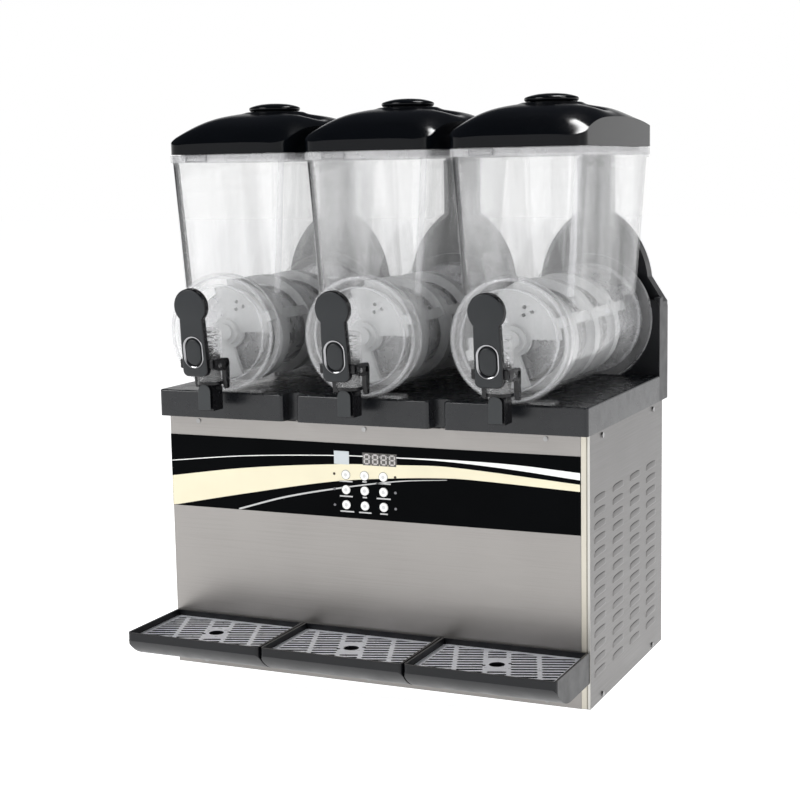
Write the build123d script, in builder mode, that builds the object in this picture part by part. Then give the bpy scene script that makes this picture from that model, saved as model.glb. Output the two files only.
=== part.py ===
"""Three-bowl slush machine: stainless cabinet, three clear bowls with augers, taps and drip trays.

Millimetres. +Z is up and the front looks along -Y. The origin is under the middle of the machine's
footprint, on the surface that the feet stand on.
"""
import os
from math import cos, radians, sin

from build123d import *

os.makedirs("parts", exist_ok=True)

# ---- driving dimensions ----
CABINET_W = 600
CABINET_D = 332
CABINET_H = 349
FOOT_H = 8
SHEET = 1.2              # stainless sheet
PLASTIC = 3              # moulded walls
TRAY_REACH = 128         # the trays stand out this far in front of the cabinet
HOUSING_OVERHANG = 15    # the rear housing stands out this far behind it
PITCH = 203              # from bowl to bowl

DEPTH = TRAY_REACH + CABINET_D + HOUSING_OVERHANG
FRONT = TRAY_REACH - DEPTH / 2
BACK = FRONT + CABINET_D
REAR = DEPTH / 2
BASE = FOOT_H
TOP = BASE + CABINET_H
HALF_W = CABINET_W / 2
SIDES = {"left": -PITCH, "middle": 0, "right": PITCH}

DECK_W = CABINET_W + 7
DECK_H = 36
DECK_TOP = TOP + DECK_H
DECK_FRONT = FRONT - 20

BOWL_R = 77              # outside of the lower cylinder
AXIS_Z = DECK_TOP + BOWL_R + 2
BOWL_FRONT = FRONT - 22
BOWL_REAR = FRONT + 298
RIM_Z = AXIS_Z + 235     # top edge of the bowls
RIM_W = 178
RIM_D = 309
RIM_Y = FRONT + RIM_D / 2
HOUSING_FRONT = FRONT + 305

LID_CROWN = 57           # height of the lid's middle over the rim
CAP_H = 11

TAP_Y = FRONT - 52       # axis of the tap tube
TAP_R = 17
TAP_BORE = 14
TAP_BOTTOM = AXIS_Z - 60
TAP_TOP = AXIS_Z + 10
PIVOT_Y = TAP_Y - 16
PIVOT_Z = AXIS_Z - 37

EVAPORATOR_R = 55
SHAFT_R = 6

PANEL_RIGHT = HALF_W - 12      # the right side panel folds round the front corner
PANEL_MID = (PANEL_RIGHT - HALF_W) / 2
BAND_LOW = BASE + 222
BAND_HIGH = BASE + 321

BUTTON_R = 6
BUTTON_X = (-33.5, -6.5, 20.5)
BUTTON_Z = (BASE + 279.5, BASE + 259.5, BASE + 239.5)

TRAY_W = 198
TRAY_D = TRAY_REACH - 1
TRAY_TOP = BASE + 74
TRAY_H = 40
TRAY_PITCH = 200
TRAYS = {"left": -TRAY_PITCH, "middle": 0, "right": TRAY_PITCH}


def save(part, name):
    """Label a finished piece and write its file."""
    part.label = name
    export_step(part, f"parts/{name}.step")


def save_three(part, name, places):
    """Write one copy of a piece for each bowl position."""
    for side, x in places.items():
        save(part.moved(Location((x, 0, 0))), f"{name}_{side}")


# ---- cabinet ----
with BuildPart() as base_pan:
    with BuildSketch(Plane.XY.offset(BASE)):
        with Locations((0, (FRONT + BACK) / 2)):
            Rectangle(CABINET_W - 2 * SHEET, CABINET_D - 2 * SHEET)
    extrude(amount=24)
    with BuildSketch(Plane.XY.offset(BASE + 1.5)):
        with Locations((0, (FRONT + BACK) / 2)):
            Rectangle(CABINET_W - 2 * SHEET - 3, CABINET_D - 2 * SHEET - 3)
    extrude(amount=24, mode=Mode.SUBTRACT)
save(base_pan.part, "base_pan")

with BuildPart() as feet:
    with BuildSketch(Plane.XY):
        with Locations((0, (FRONT + BACK) / 2)):
            with GridLocations(CABINET_W - 110, CABINET_D - 110, 2, 2):
                Circle(17)
    extrude(amount=FOOT_H)
    chamfer(feet.edges().group_by(Axis.Z)[0], 1.5)
save(feet.part, "feet")

with BuildPart() as front_panel:
    with BuildSketch(Plane.YZ.offset(-HALF_W)):
        with BuildLine():
            FilletPolyline(
                (FRONT + 16, TOP - SHEET / 2),
                (FRONT + SHEET / 2, TOP - SHEET / 2),
                (FRONT + SHEET / 2, BASE),
                radius=2,
            )
            offset(amount=SHEET / 2, side=Side.BOTH)
        make_face()
    extrude(amount=HALF_W + PANEL_RIGHT)
    with BuildSketch(Plane.XZ.offset(-FRONT)):
        for column in BUTTON_X:
            for row in BUTTON_Z:
                with Locations((column, row)):
                    Circle(BUTTON_R + 0.8)
        with Locations((PANEL_MID, BAND_HIGH - 19)):
            Rectangle(110, 21)
        for x in TRAYS.values():
            with Locations((x - 60, TRAY_TOP - 14), (x + 60, TRAY_TOP - 14)):
                Rectangle(24, 7)
    extrude(amount=-SHEET * 2, mode=Mode.SUBTRACT)
    with BuildSketch(Plane.XY.offset(TOP - 5)):
        with Locations((-HALF_W, FRONT + SHEET + 10), (PANEL_RIGHT, FRONT + SHEET + 10)):
            Rectangle(40, 20)
    extrude(amount=10, mode=Mode.SUBTRACT)
save(front_panel.part, "front_panel")


LOUVRE_Y = FRONT + 158
LOUVRE_Z = BASE + 151


def side_panel(side):
    """Side wall of the cabinet with punched louvres; side is +1 for the right one."""
    with BuildPart() as panel:
        with BuildSketch(Plane.YZ.offset(side * HALF_W)):
            with Locations(((FRONT + BACK) / 2, (BASE + TOP) / 2)):
                Rectangle(CABINET_D, CABINET_H)
        extrude(amount=-side * SHEET)
        with BuildSketch(Plane.XY.offset(TOP - SHEET)):
            with Locations((side * (HALF_W - 9), (FRONT + BACK) / 2)):
                Rectangle(18, CABINET_D - 40)
        extrude(amount=SHEET)
        if side > 0:
            with BuildSketch(Plane.XZ.offset(-FRONT)):
                with Locations(((PANEL_RIGHT + HALF_W) / 2 + 0.1, (BASE + TOP) / 2)):
                    Rectangle(HALF_W - PANEL_RIGHT - 0.2, CABINET_H)
            extrude(amount=-SHEET)
        else:
            with BuildSketch(Plane.YZ.offset(-HALF_W)):
                with Locations((FRONT, (BASE + TOP) / 2)):
                    Rectangle(2 * SHEET, CABINET_H)
            extrude(amount=SHEET, mode=Mode.SUBTRACT)
        with BuildSketch(Plane.YZ.offset(side * HALF_W)):
            with Locations((LOUVRE_Y, LOUVRE_Z)):
                with GridLocations(78, 17.2, 4, 14):
                    SlotOverall(47, 4)
        extrude(amount=-side * SHEET, mode=Mode.SUBTRACT)
    return panel.part


save(side_panel(-1), "side_panel_left")
save(side_panel(1), "side_panel_right")

with BuildPart() as rear_panel:
    with BuildSketch(Plane.XZ.offset(-BACK)):
        with Locations((0, (BASE + TOP) / 2)):
            Rectangle(CABINET_W - 2 * SHEET, CABINET_H)
        with Locations((-150, BASE + 150)):
            with GridLocations(60, 17.2, 3, 10):
                SlotOverall(46, 4, mode=Mode.SUBTRACT)
    extrude(amount=SHEET)
save(rear_panel.part, "rear_panel")

with BuildPart() as panel_screws:
    for z in (BASE + 6, TOP - 8):
        with BuildSketch(Plane.XZ.offset(-FRONT)):
            with Locations((PANEL_MID - 249, z), (PANEL_MID, z), (PANEL_MID + 249, z)):
                Circle(3)
        extrude(amount=1.5)
        for face_x, outward in ((HALF_W, 1), (-HALF_W, -1)):
            with BuildSketch(Plane.YZ.offset(face_x)):
                with Locations((FRONT + 50, z), (FRONT + 283, z)):
                    Circle(3.5)
            extrude(amount=outward * 1.8)
        with BuildSketch(Plane.XZ.offset(-BACK)):
            with Locations((-270, z), (0, z), (270, z)):
                Circle(3.5)
        extrude(amount=-1.8)
save(panel_screws.part, "panel_screws")

# ---- control strip ----
with BuildPart() as control_overlay:
    with BuildSketch(Plane.XZ.offset(-FRONT)):
        with Locations((PANEL_MID, (BAND_LOW + BAND_HIGH) / 2)):
            Rectangle(HALF_W + PANEL_RIGHT, BAND_HIGH - BAND_LOW)
        for column in BUTTON_X:
            for row in BUTTON_Z:
                with Locations((column, row)):
                    Circle(BUTTON_R + 0.4, mode=Mode.SUBTRACT)
        with Locations((-39.3, BAND_HIGH - 19)):
            Rectangle(22.5, 18, mode=Mode.SUBTRACT)
        with Locations((15.5, BAND_HIGH - 19)):
            Rectangle(50, 17, mode=Mode.SUBTRACT)
    extrude(amount=0.8)
save(control_overlay.part, "control_overlay")

BOARD_Y = FRONT + 7
with BuildPart() as display_board:
    with BuildSketch(Plane.XZ.offset(-BOARD_Y)):
        with Locations((PANEL_MID, (BAND_LOW + BAND_HIGH) / 2)):
            Rectangle(124, 92)
    extrude(amount=-1.6)
    with BuildSketch(Plane.XZ.offset(-BOARD_Y)):
        with Locations((-39.3, BAND_HIGH - 19)):
            Rectangle(22.3, 17.8)
        with Locations((15.5, BAND_HIGH - 19)):
            Rectangle(49.8, 16.8)
    extrude(amount=BOARD_Y - FRONT + 0.4)
save(display_board.part, "display_board")

number = 0
for row in BUTTON_Z:
    for column in BUTTON_X:
        number += 1
        with BuildPart() as button:
            with BuildSketch(Plane.XZ.offset(-FRONT)):
                with Locations((column, row)):
                    Circle(BUTTON_R)
            extrude(amount=1.8)
            fillet(button.edges().group_by(Axis.Y)[0], 0.8)
            with BuildSketch(Plane.XZ.offset(-FRONT)):
                with Locations((column, row)):
                    Circle(BUTTON_R - 0.5)
            extrude(amount=-4)
            with BuildSketch(Plane.XZ.offset(-FRONT - 4)):
                with Locations((column, row)):
                    Circle(2)
            extrude(amount=-1.8)
        save(button.part, f"button_{number}")

# ---- deck and rear housing ----
NOTCH_W = 20
BLOCK_W = (DECK_W - 2 * NOTCH_W) / 3
with BuildPart() as deck:
    with BuildSketch(Plane.XY.offset(TOP)):
        with Locations((0, (DECK_FRONT + HOUSING_FRONT) / 2)):
            Rectangle(DECK_W, HOUSING_FRONT - DECK_FRONT)
        with Locations((-(BLOCK_W + NOTCH_W) / 2, DECK_FRONT), ((BLOCK_W + NOTCH_W) / 2, DECK_FRONT)):
            Rectangle(NOTCH_W, 36, mode=Mode.SUBTRACT)
    extrude(amount=DECK_H)
    fillet(deck.edges().filter_by(Axis.Z).group_by(Axis.Y)[0], 5)
    fillet(deck.edges().group_by(Axis.Z)[-1].group_by(Axis.Y)[0], 2.5)
    with BuildSketch(Plane.XY.offset(TOP)):
        for x in (-(BLOCK_W + NOTCH_W), 0, BLOCK_W + NOTCH_W):
            with Locations((x, (FRONT + HOUSING_FRONT) / 2 - 2)):
                Rectangle(BLOCK_W - 12, HOUSING_FRONT - FRONT - 16)
    extrude(amount=DECK_H - PLASTIC, mode=Mode.SUBTRACT)
save(deck.part, "deck")

HOUSING_LOW_Z = AXIS_Z + 26
COLUMN_HALF = 24
COLUMN_TOP = AXIS_Z + 226
BELL_Y = FRONT + 324
SHOULDER_Z = AXIS_Z + 146


def bell_outline(inset):
    """Right half of a bell-shaped cover and its column, drawn in by inset."""
    half = COLUMN_HALF - inset
    top = COLUMN_TOP - inset
    with BuildLine() as outline:
        column_right = Polyline((0, top), (half - 5, top), (half, top - 5), (half, SHOULDER_Z))
        shoulder = ThreePointArc(
            column_right @ 1,
            (60 - inset, AXIS_Z + 108),
            (78 - inset, AXIS_Z + 56),
        )
        Polyline(shoulder @ 1, (100 - inset, HOUSING_LOW_Z - 4), (100 - inset, AXIS_Z), (0, AXIS_Z), (0, top))
    return outline.line


with BuildPart() as rear_housing:
    with BuildSketch(Plane.XZ.offset(-REAR)):
        with Locations((0, (TOP + HOUSING_LOW_Z) / 2)):
            Rectangle(DECK_W, HOUSING_LOW_Z - TOP)
    extrude(amount=REAR - HOUSING_FRONT)
    fillet(rear_housing.edges().filter_by(Axis.Y).group_by(Axis.Z)[-1], 12)
    for x in SIDES.values():
        with BuildSketch(Plane.XZ.offset(-REAR).shift_origin((x, REAR, 0))):
            add(bell_outline(0))
            make_face()
            mirror(about=Plane.YZ)
        extrude(amount=REAR - BELL_Y)
    with BuildSketch(Plane.XZ.offset(-REAR + PLASTIC)):
        with Locations((0, (TOP + HOUSING_LOW_Z - PLASTIC) / 2)):
            Rectangle(DECK_W - 2 * PLASTIC, HOUSING_LOW_Z - TOP - PLASTIC)
    extrude(amount=REAR - HOUSING_FRONT - 2 * PLASTIC, mode=Mode.SUBTRACT)
    for x in SIDES.values():
        with BuildSketch(Plane.XZ.offset(-REAR + PLASTIC).shift_origin((x, REAR - PLASTIC, 0))):
            add(bell_outline(PLASTIC))
            make_face()
            mirror(about=Plane.YZ)
        extrude(amount=REAR - BELL_Y - 2 * PLASTIC, mode=Mode.SUBTRACT)
    with BuildSketch(Plane.XZ.offset(-HOUSING_FRONT)):
        for x in SIDES.values():
            with Locations((x, AXIS_Z)):
                Circle(EVAPORATOR_R - 1)
    extrude(amount=-PLASTIC, mode=Mode.SUBTRACT)
save(rear_housing.part, "rear_housing")

# ---- cooling drums, motors and gaskets ----
DRUM_FRONT = FRONT + 12
with BuildPart() as evaporators:
    for x in SIDES.values():
        axis_plane = Plane.XZ.offset(-HOUSING_FRONT).shift_origin((x, HOUSING_FRONT, AXIS_Z))
        with BuildSketch(axis_plane):
            Circle(90)
            Circle(EVAPORATOR_R - 1.5, mode=Mode.SUBTRACT)
        extrude(amount=3)
        with BuildSketch(axis_plane):
            Circle(EVAPORATOR_R)
            Circle(EVAPORATOR_R - 1.5, mode=Mode.SUBTRACT)
        extrude(amount=HOUSING_FRONT - DRUM_FRONT)
        front_plane = Plane.XZ.offset(-DRUM_FRONT).shift_origin((x, DRUM_FRONT, AXIS_Z))
        with BuildSketch(front_plane):
            Circle(EVAPORATOR_R)
            Circle(SHAFT_R + 0.5, mode=Mode.SUBTRACT)
        extrude(amount=3, taper=30)
        with BuildSketch(front_plane):
            Circle(SHAFT_R + 3)
            Circle(SHAFT_R + 0.5, mode=Mode.SUBTRACT)
        extrude(amount=-(HOUSING_FRONT - DRUM_FRONT))
    with BuildSketch(Plane.XY.offset(TOP)):
        with Locations((0, HOUSING_FRONT)):
            Rectangle(DECK_W, 60)
    extrude(amount=DECK_H + 0.5, mode=Mode.SUBTRACT)
save(evaporators.part, "evaporators")

MOTOR_GAP = 4
with BuildPart() as gear_motors:
    for x in SIDES.values():
        case_plane = Plane.XZ.offset(-HOUSING_FRONT - MOTOR_GAP).shift_origin(
            (x, HOUSING_FRONT + MOTOR_GAP, AXIS_Z))
        with BuildSketch(case_plane):
            with Locations((0, -26)):
                RectangleRounded(80, 84, 10)
        extrude(amount=-26)
        with BuildSketch(case_plane):
            with Locations((0, -32)):
                Circle(19)
        extrude(amount=62)
        with BuildSketch(case_plane):
            Circle(SHAFT_R + 0.05)
        extrude(amount=-22, mode=Mode.SUBTRACT)
save(gear_motors.part, "gear_motors")

with BuildPart() as bowl_gaskets:
    for x in SIDES.values():
        with BuildSketch(Plane.XZ.offset(-HOUSING_FRONT + 3).shift_origin((x, HOUSING_FRONT - 3, AXIS_Z))):
            Circle(89)
            Circle(77, mode=Mode.SUBTRACT)
        extrude(amount=3.7)
    with BuildSketch(Plane.XY.offset(TOP)):
        with Locations((0, HOUSING_FRONT)):
            Rectangle(DECK_W, 60)
    extrude(amount=DECK_H + 0.5, mode=Mode.SUBTRACT)
save(bowl_gaskets.part, "bowl_gaskets")

# ---- refrigeration ----
COMPRESSOR_R = 62
with BuildPart() as compressor:
    with BuildSketch(Plane.XY.offset(BASE + 12)):
        with Locations((-40, FRONT + 190)):
            Circle(COMPRESSOR_R)
    extrude(amount=150)
    fillet(compressor.edges().group_by(Axis.Z)[-1], 34)
    with BuildSketch(Plane.XY.offset(BASE + 9)):
        with Locations((-40, FRONT + 190)):
            RectangleRounded(170, 110, 8)
    extrude(amount=3)
    with BuildSketch(Plane.XY.offset(BASE + 1.5)):
        with Locations((-40, FRONT + 190)):
            with GridLocations(145, 85, 2, 2):
                Circle(8)
    extrude(amount=7.5)
    with BuildSketch(Plane.XY.offset(BASE + 150)):
        with Locations((-62, FRONT + 190), (-20, FRONT + 200)):
            Circle(4)
    extrude(amount=40)
save(compressor.part, "compressor")

FAN_Y = FRONT + 150
FAN_Z = BASE + 118
FAN_R = 86
COIL_X = HALF_W - 60
with BuildPart() as condenser:
    with BuildSketch(Plane.YZ.offset(COIL_X)):
        with Locations((FAN_Y, FAN_Z)):
            Rectangle(216, 210)
    extrude(amount=42)
    with BuildSketch(Plane.XY.offset(FAN_Z - 100)):
        with Locations((COIL_X + 21, FAN_Y)):
            with GridLocations(42, 9, 2, 23):
                Rectangle(24, 5)
    extrude(amount=200, mode=Mode.SUBTRACT)
    with BuildSketch(Plane.YZ.offset(COIL_X)):
        with Locations((FAN_Y, FAN_Z)):
            Rectangle(216, 210)
            Circle(FAN_R + 3, mode=Mode.SUBTRACT)
    extrude(amount=-2)
    with BuildSketch(Plane.YZ.offset(COIL_X - 2)):
        with Locations((FAN_Y, FAN_Z)):
            Circle(FAN_R + 5)
            Circle(FAN_R + 3, mode=Mode.SUBTRACT)
    extrude(amount=-34)
    with BuildSketch(Plane.YZ.offset(COIL_X - 36)):
        with Locations((FAN_Y, FAN_Z)):
            Rectangle(2 * (FAN_R + 4), 10)
            Rectangle(10, 2 * (FAN_R + 4))
            Circle(22)
    extrude(amount=-3)
    with BuildSketch(Plane.XY.offset(BASE + 1.5)):
        with Locations((COIL_X + 21, FAN_Y - 90), (COIL_X + 21, FAN_Y + 90)):
            Rectangle(40, 20)
    extrude(amount=13)
save(condenser.part, "condenser")

with BuildPart() as fan:
    with BuildSketch(Plane.YZ.offset(COIL_X - 34)):
        with Locations((FAN_Y, FAN_Z)):
            Circle(30)
    extrude(amount=26)
    fillet(fan.edges().group_by(Axis.X)[-1], 4)
    with BuildSketch(Plane.YZ.offset(COIL_X - 30).shift_origin((COIL_X - 30, FAN_Y, FAN_Z))):
        with PolarLocations(0, 5):
            Polygon((24, -14), (FAN_R - 8, -24), (FAN_R - 3, 10), (26, 12), align=None)
    extrude(amount=3)
save(fan.part, "fan")

GLAND_X = -230
with BuildPart() as cable_gland:
    with BuildSketch(Plane.XZ.offset(-BACK).shift_origin((GLAND_X, BACK, BASE + 40))):
        RegularPolygon(15, 6)
    extrude(amount=-6)
    with BuildSketch(Plane.XZ.offset(-BACK - 6).shift_origin((GLAND_X, BACK + 6, BASE + 40))):
        Circle(11)
    extrude(amount=-8)
    with BuildSketch(Plane.XZ.offset(-BACK - 14).shift_origin((GLAND_X, BACK + 14, BASE + 40))):
        Circle(5)
    extrude(amount=10, mode=Mode.SUBTRACT)
save(cable_gland.part, "cable_gland")

# ---- bowls ----
DUCT_Z = TAP_BOTTOM + 9
SLOT_LOW = PIVOT_Z - 3.2
with BuildPart() as bowl:
    for wall, mode in ((0, Mode.ADD), (PLASTIC, Mode.SUBTRACT)):
        front_y = BOWL_FRONT + wall
        with BuildSketch(Plane.XZ.offset(-BOWL_REAR).shift_origin((0, BOWL_REAR, AXIS_Z))):
            Circle(BOWL_R - wall)
        extrude(amount=BOWL_REAR - front_y, mode=mode)
        if wall == 0:
            with BuildSketch(Plane.XZ.offset(-BOWL_REAR).shift_origin((0, BOWL_REAR, AXIS_Z))):
                Circle(92)
            extrude(amount=8)
            with BuildSketch(Plane.XZ.offset(-BOWL_FRONT).shift_origin((0, BOWL_FRONT, AXIS_Z))):
                Circle(BOWL_R + 2.5)
            extrude(amount=-14)
            fillet(bowl.edges().group_by(Axis.Y)[0], 6)
        with BuildSketch(Plane.XY.offset(AXIS_Z)):
            with Locations((0, FRONT + 145)):
                RectangleRounded(148 - 2 * wall, 278 - 2 * wall, 18 - wall)
        with BuildSketch(Plane.XY.offset(RIM_Z)):
            with Locations((0, RIM_Y)):
                RectangleRounded(RIM_W - 4 - 2 * wall, RIM_D - 4 - 2 * wall, 20 - wall)
        loft(mode=mode)
        if wall == 0:
            with BuildSketch(Plane.XY.offset(RIM_Z - 14)):
                with Locations((0, RIM_Y)):
                    RectangleRounded(RIM_W, RIM_D, 22)
            extrude(amount=14)
            with BuildSketch(Plane.XY.offset(RIM_Z - 12)):
                with Locations((-45, FRONT)):
                    Rectangle(38, 3)
            extrude(amount=10)
    # front face groove ring, moulded in
    with BuildSketch(Plane.XZ.offset(-BOWL_FRONT).shift_origin((0, BOWL_FRONT, AXIS_Z))):
        Circle(66)
        Circle(64, mode=Mode.SUBTRACT)
    extrude(amount=-1, mode=Mode.SUBTRACT)
    # tap tube, joined to the front wall by the duct that feeds it
    with BuildSketch(Plane.XY.offset(TAP_BOTTOM)):
        with Locations((0, TAP_Y)):
            Circle(TAP_R)
    extrude(amount=TAP_TOP - TAP_BOTTOM)
    fillet(bowl.faces().filter_by(Plane.XY).filter_by(
        lambda f: abs(f.center().Z - TAP_TOP) < 0.1 and f.center().Y < BOWL_FRONT).edges(), 5)
    with BuildSketch(Plane.XZ.offset(-BOWL_FRONT).shift_origin((0, BOWL_FRONT, DUCT_Z))):
        RectangleRounded(22, 18, 4)
    extrude(amount=BOWL_FRONT - TAP_Y)
    with BuildSketch(Plane.XY.offset(TAP_BOTTOM)):
        with Locations((0, TAP_Y)):
            Circle(TAP_BORE)
    extrude(amount=TAP_TOP - TAP_BOTTOM - 4, mode=Mode.SUBTRACT)
    with BuildSketch(Plane.XZ.offset(-BOWL_FRONT - PLASTIC - 1).shift_origin(
            (0, BOWL_FRONT + PLASTIC + 1, DUCT_Z))):
        Circle(6.5)
    extrude(amount=BOWL_FRONT + PLASTIC + 1 - TAP_Y, mode=Mode.SUBTRACT)
    # pins that the lever turns on
    with BuildSketch(Plane.YZ.offset(-25)):
        with Locations((PIVOT_Y, PIVOT_Z)):
            Circle(3)
    extrude(amount=50)
    with BuildSketch(Plane.XY.offset(TAP_BOTTOM)):
        with Locations((0, TAP_Y)):
            Circle(TAP_BORE)
    extrude(amount=TAP_TOP - TAP_BOTTOM - 4, mode=Mode.SUBTRACT)
    # slots for the piston's cross pin
    with BuildSketch(Plane.YZ.offset(-TAP_R - 1)):
        with Locations((TAP_Y, SLOT_LOW + 7.5)):
            Rectangle(6, 15)
    extrude(amount=2 * TAP_R + 2, mode=Mode.SUBTRACT)
    # everything below the deck's surface is cut away flat
    with BuildSketch(Plane.XY.offset(TOP)):
        with Locations((0, (BOWL_FRONT + BOWL_REAR) / 2 + 20)):
            Rectangle(2 * PITCH, BOWL_REAR - BOWL_FRONT + 44)
    extrude(amount=DECK_H + 1.2, mode=Mode.SUBTRACT)
    # tab at the front, over the deck
    with BuildSketch(Plane.XY.offset(DECK_TOP + 0.6)):
        with Locations((40, BOWL_FRONT + 14)):
            RectangleRounded(34, 22, 4)
    extrude(amount=4)
    with BuildSketch(Plane.XZ.offset(-BOWL_REAR).shift_origin((0, BOWL_REAR, AXIS_Z))):
        Circle(BOWL_R - PLASTIC)
    extrude(amount=BOWL_REAR - BOWL_FRONT - PLASTIC, mode=Mode.SUBTRACT)
save_three(bowl.part, "bowl", SIDES)

SPOUT_LOW = AXIS_Z - 98
with BuildPart() as spout:
    with BuildSketch(Plane.XZ.offset(-TAP_Y - 11).shift_origin((0, TAP_Y + 11, SPOUT_LOW))):
        with BuildLine():
            left = Line((-11, 27.4), (-11, 0))
            bottom = Line(left @ 1, (11, 0))
            right = Line(bottom @ 1, (11, 27.4))
            ThreePointArc(right @ 1, (0, 37.4), left @ 0)
        make_face()
    extrude(amount=24)
    with BuildSketch(Plane.XY.offset(SPOUT_LOW)):
        with Locations((0, TAP_Y)):
            Circle(8)
    extrude(amount=60, mode=Mode.SUBTRACT)
    with BuildSketch(Plane.XY.offset(TAP_BOTTOM - 4)):
        with Locations((0, TAP_Y)):
            Circle(TAP_R)
            Circle(8, mode=Mode.SUBTRACT)
    extrude(amount=4)
    with BuildSketch(Plane.XY.offset(TAP_BOTTOM)):
        with Locations((0, TAP_Y)):
            Rectangle(60, 60)
    extrude(amount=20, mode=Mode.SUBTRACT)
save_three(spout.part, "spout", SIDES)

# ---- tap levers, pistons and springs ----
LEVER_Y = PIVOT_Y - 12
lever_plane = Plane(
    origin=(0, LEVER_Y, PIVOT_Z),
    x_dir=(1, 0, 0),
    z_dir=(0, -cos(radians(6)), -sin(radians(6))),
)
with BuildPart() as tap_lever:
    with BuildSketch(lever_plane):
        with BuildLine():
            foot = Line((-12, -13), (12, -13))
            right_foot = Line(foot @ 1, (17.5, -4))
            right_side = Line(right_foot @ 1, (18.5, 62))
            head = ThreePointArc(right_side @ 1, (0, 103), (-18.5, 62))
            left_side = Line(head @ 1, (-17.5, -4))
            Line(left_side @ 1, foot @ 0)
        make_face()
    extrude(amount=11)
    front_face = tap_lever.faces().filter_by(lambda face: face.normal_at().dot(lever_plane.z_dir) > 0.99)
    fillet(front_face.edges(), 3)
    with BuildSketch(lever_plane.offset(11)):
        with Locations((0, 20)):
            SlotOverall(42, 29, rotation=90)
            SlotOverall(37, 24, rotation=90, mode=Mode.SUBTRACT)
    extrude(amount=-2.5, mode=Mode.SUBTRACT)
    for arm_x in (-24, 18.3):
        with BuildSketch(Plane.YZ.offset(arm_x)):
            with BuildLine():
                Polyline(
                    (LEVER_Y - 4, PIVOT_Z - 3),
                    (PIVOT_Y - 1, PIVOT_Z - 7),
                    (TAP_Y - 1, PIVOT_Z - 7),
                    (TAP_Y + 1, PIVOT_Z - 32),
                    (TAP_Y + 8, PIVOT_Z - 32),
                    (TAP_Y + 9, PIVOT_Z + 2),
                    (TAP_Y + 4, PIVOT_Z + 8),
                    (LEVER_Y - 4, PIVOT_Z + 9),
                    close=True,
                )
            make_face()
            with Locations((PIVOT_Y, PIVOT_Z)):
                Circle(3.05, mode=Mode.SUBTRACT)
            with Locations((TAP_Y + 1, PIVOT_Z)):
                SlotOverall(11.5, 7.4, mode=Mode.SUBTRACT)
        extrude(amount=5.7)
    for bridge_x in (-24, 14):
        with BuildSketch(Plane.YZ.offset(bridge_x)):
            with Locations((LEVER_Y - 3.5, PIVOT_Z + 3)):
                Rectangle(5, 12)
        extrude(amount=10)
save_three(tap_lever.part, "tap_lever", SIDES)

PISTON_LOW = TAP_BOTTOM + 0.5
with BuildPart() as tap_piston:
    with BuildSketch(Plane.XY.offset(PISTON_LOW)):
        with Locations((0, TAP_Y)):
            Circle(TAP_BORE - 0.4)
    extrude(amount=34)
    for groove_z in (PISTON_LOW + 3, PISTON_LOW + 16):
        with BuildSketch(Plane.XY.offset(groove_z)):
            with Locations((0, TAP_Y)):
                Circle(TAP_BORE)
                Circle(TAP_BORE - 2, mode=Mode.SUBTRACT)
        extrude(amount=2.5, mode=Mode.SUBTRACT)
    with BuildSketch(Plane.XY.offset(PISTON_LOW + 34)):
        with Locations((0, TAP_Y)):
            Circle(5)
    extrude(amount=12)
    with BuildSketch(Plane.YZ.offset(-22.5)):
        with Locations((TAP_Y, PIVOT_Z)):
            Circle(2.5)
    extrude(amount=45)
save_three(tap_piston.part, "tap_piston", SIDES)

SPRING_R = 10.5
SPRING_LOW = PISTON_LOW + 35.2
SPRING_H = TAP_TOP - 4 - SPRING_LOW - 1.5
with BuildPart() as tap_spring:
    with BuildLine():
        coil = Helix(SPRING_H / 5, SPRING_H, SPRING_R, center=(0, TAP_Y, SPRING_LOW))
    with BuildSketch(Plane(origin=coil @ 0, z_dir=coil % 0)):
        Circle(0.9)
    sweep(path=coil, is_frenet=True)
save_three(tap_spring.part, "tap_spring", SIDES)

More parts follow.
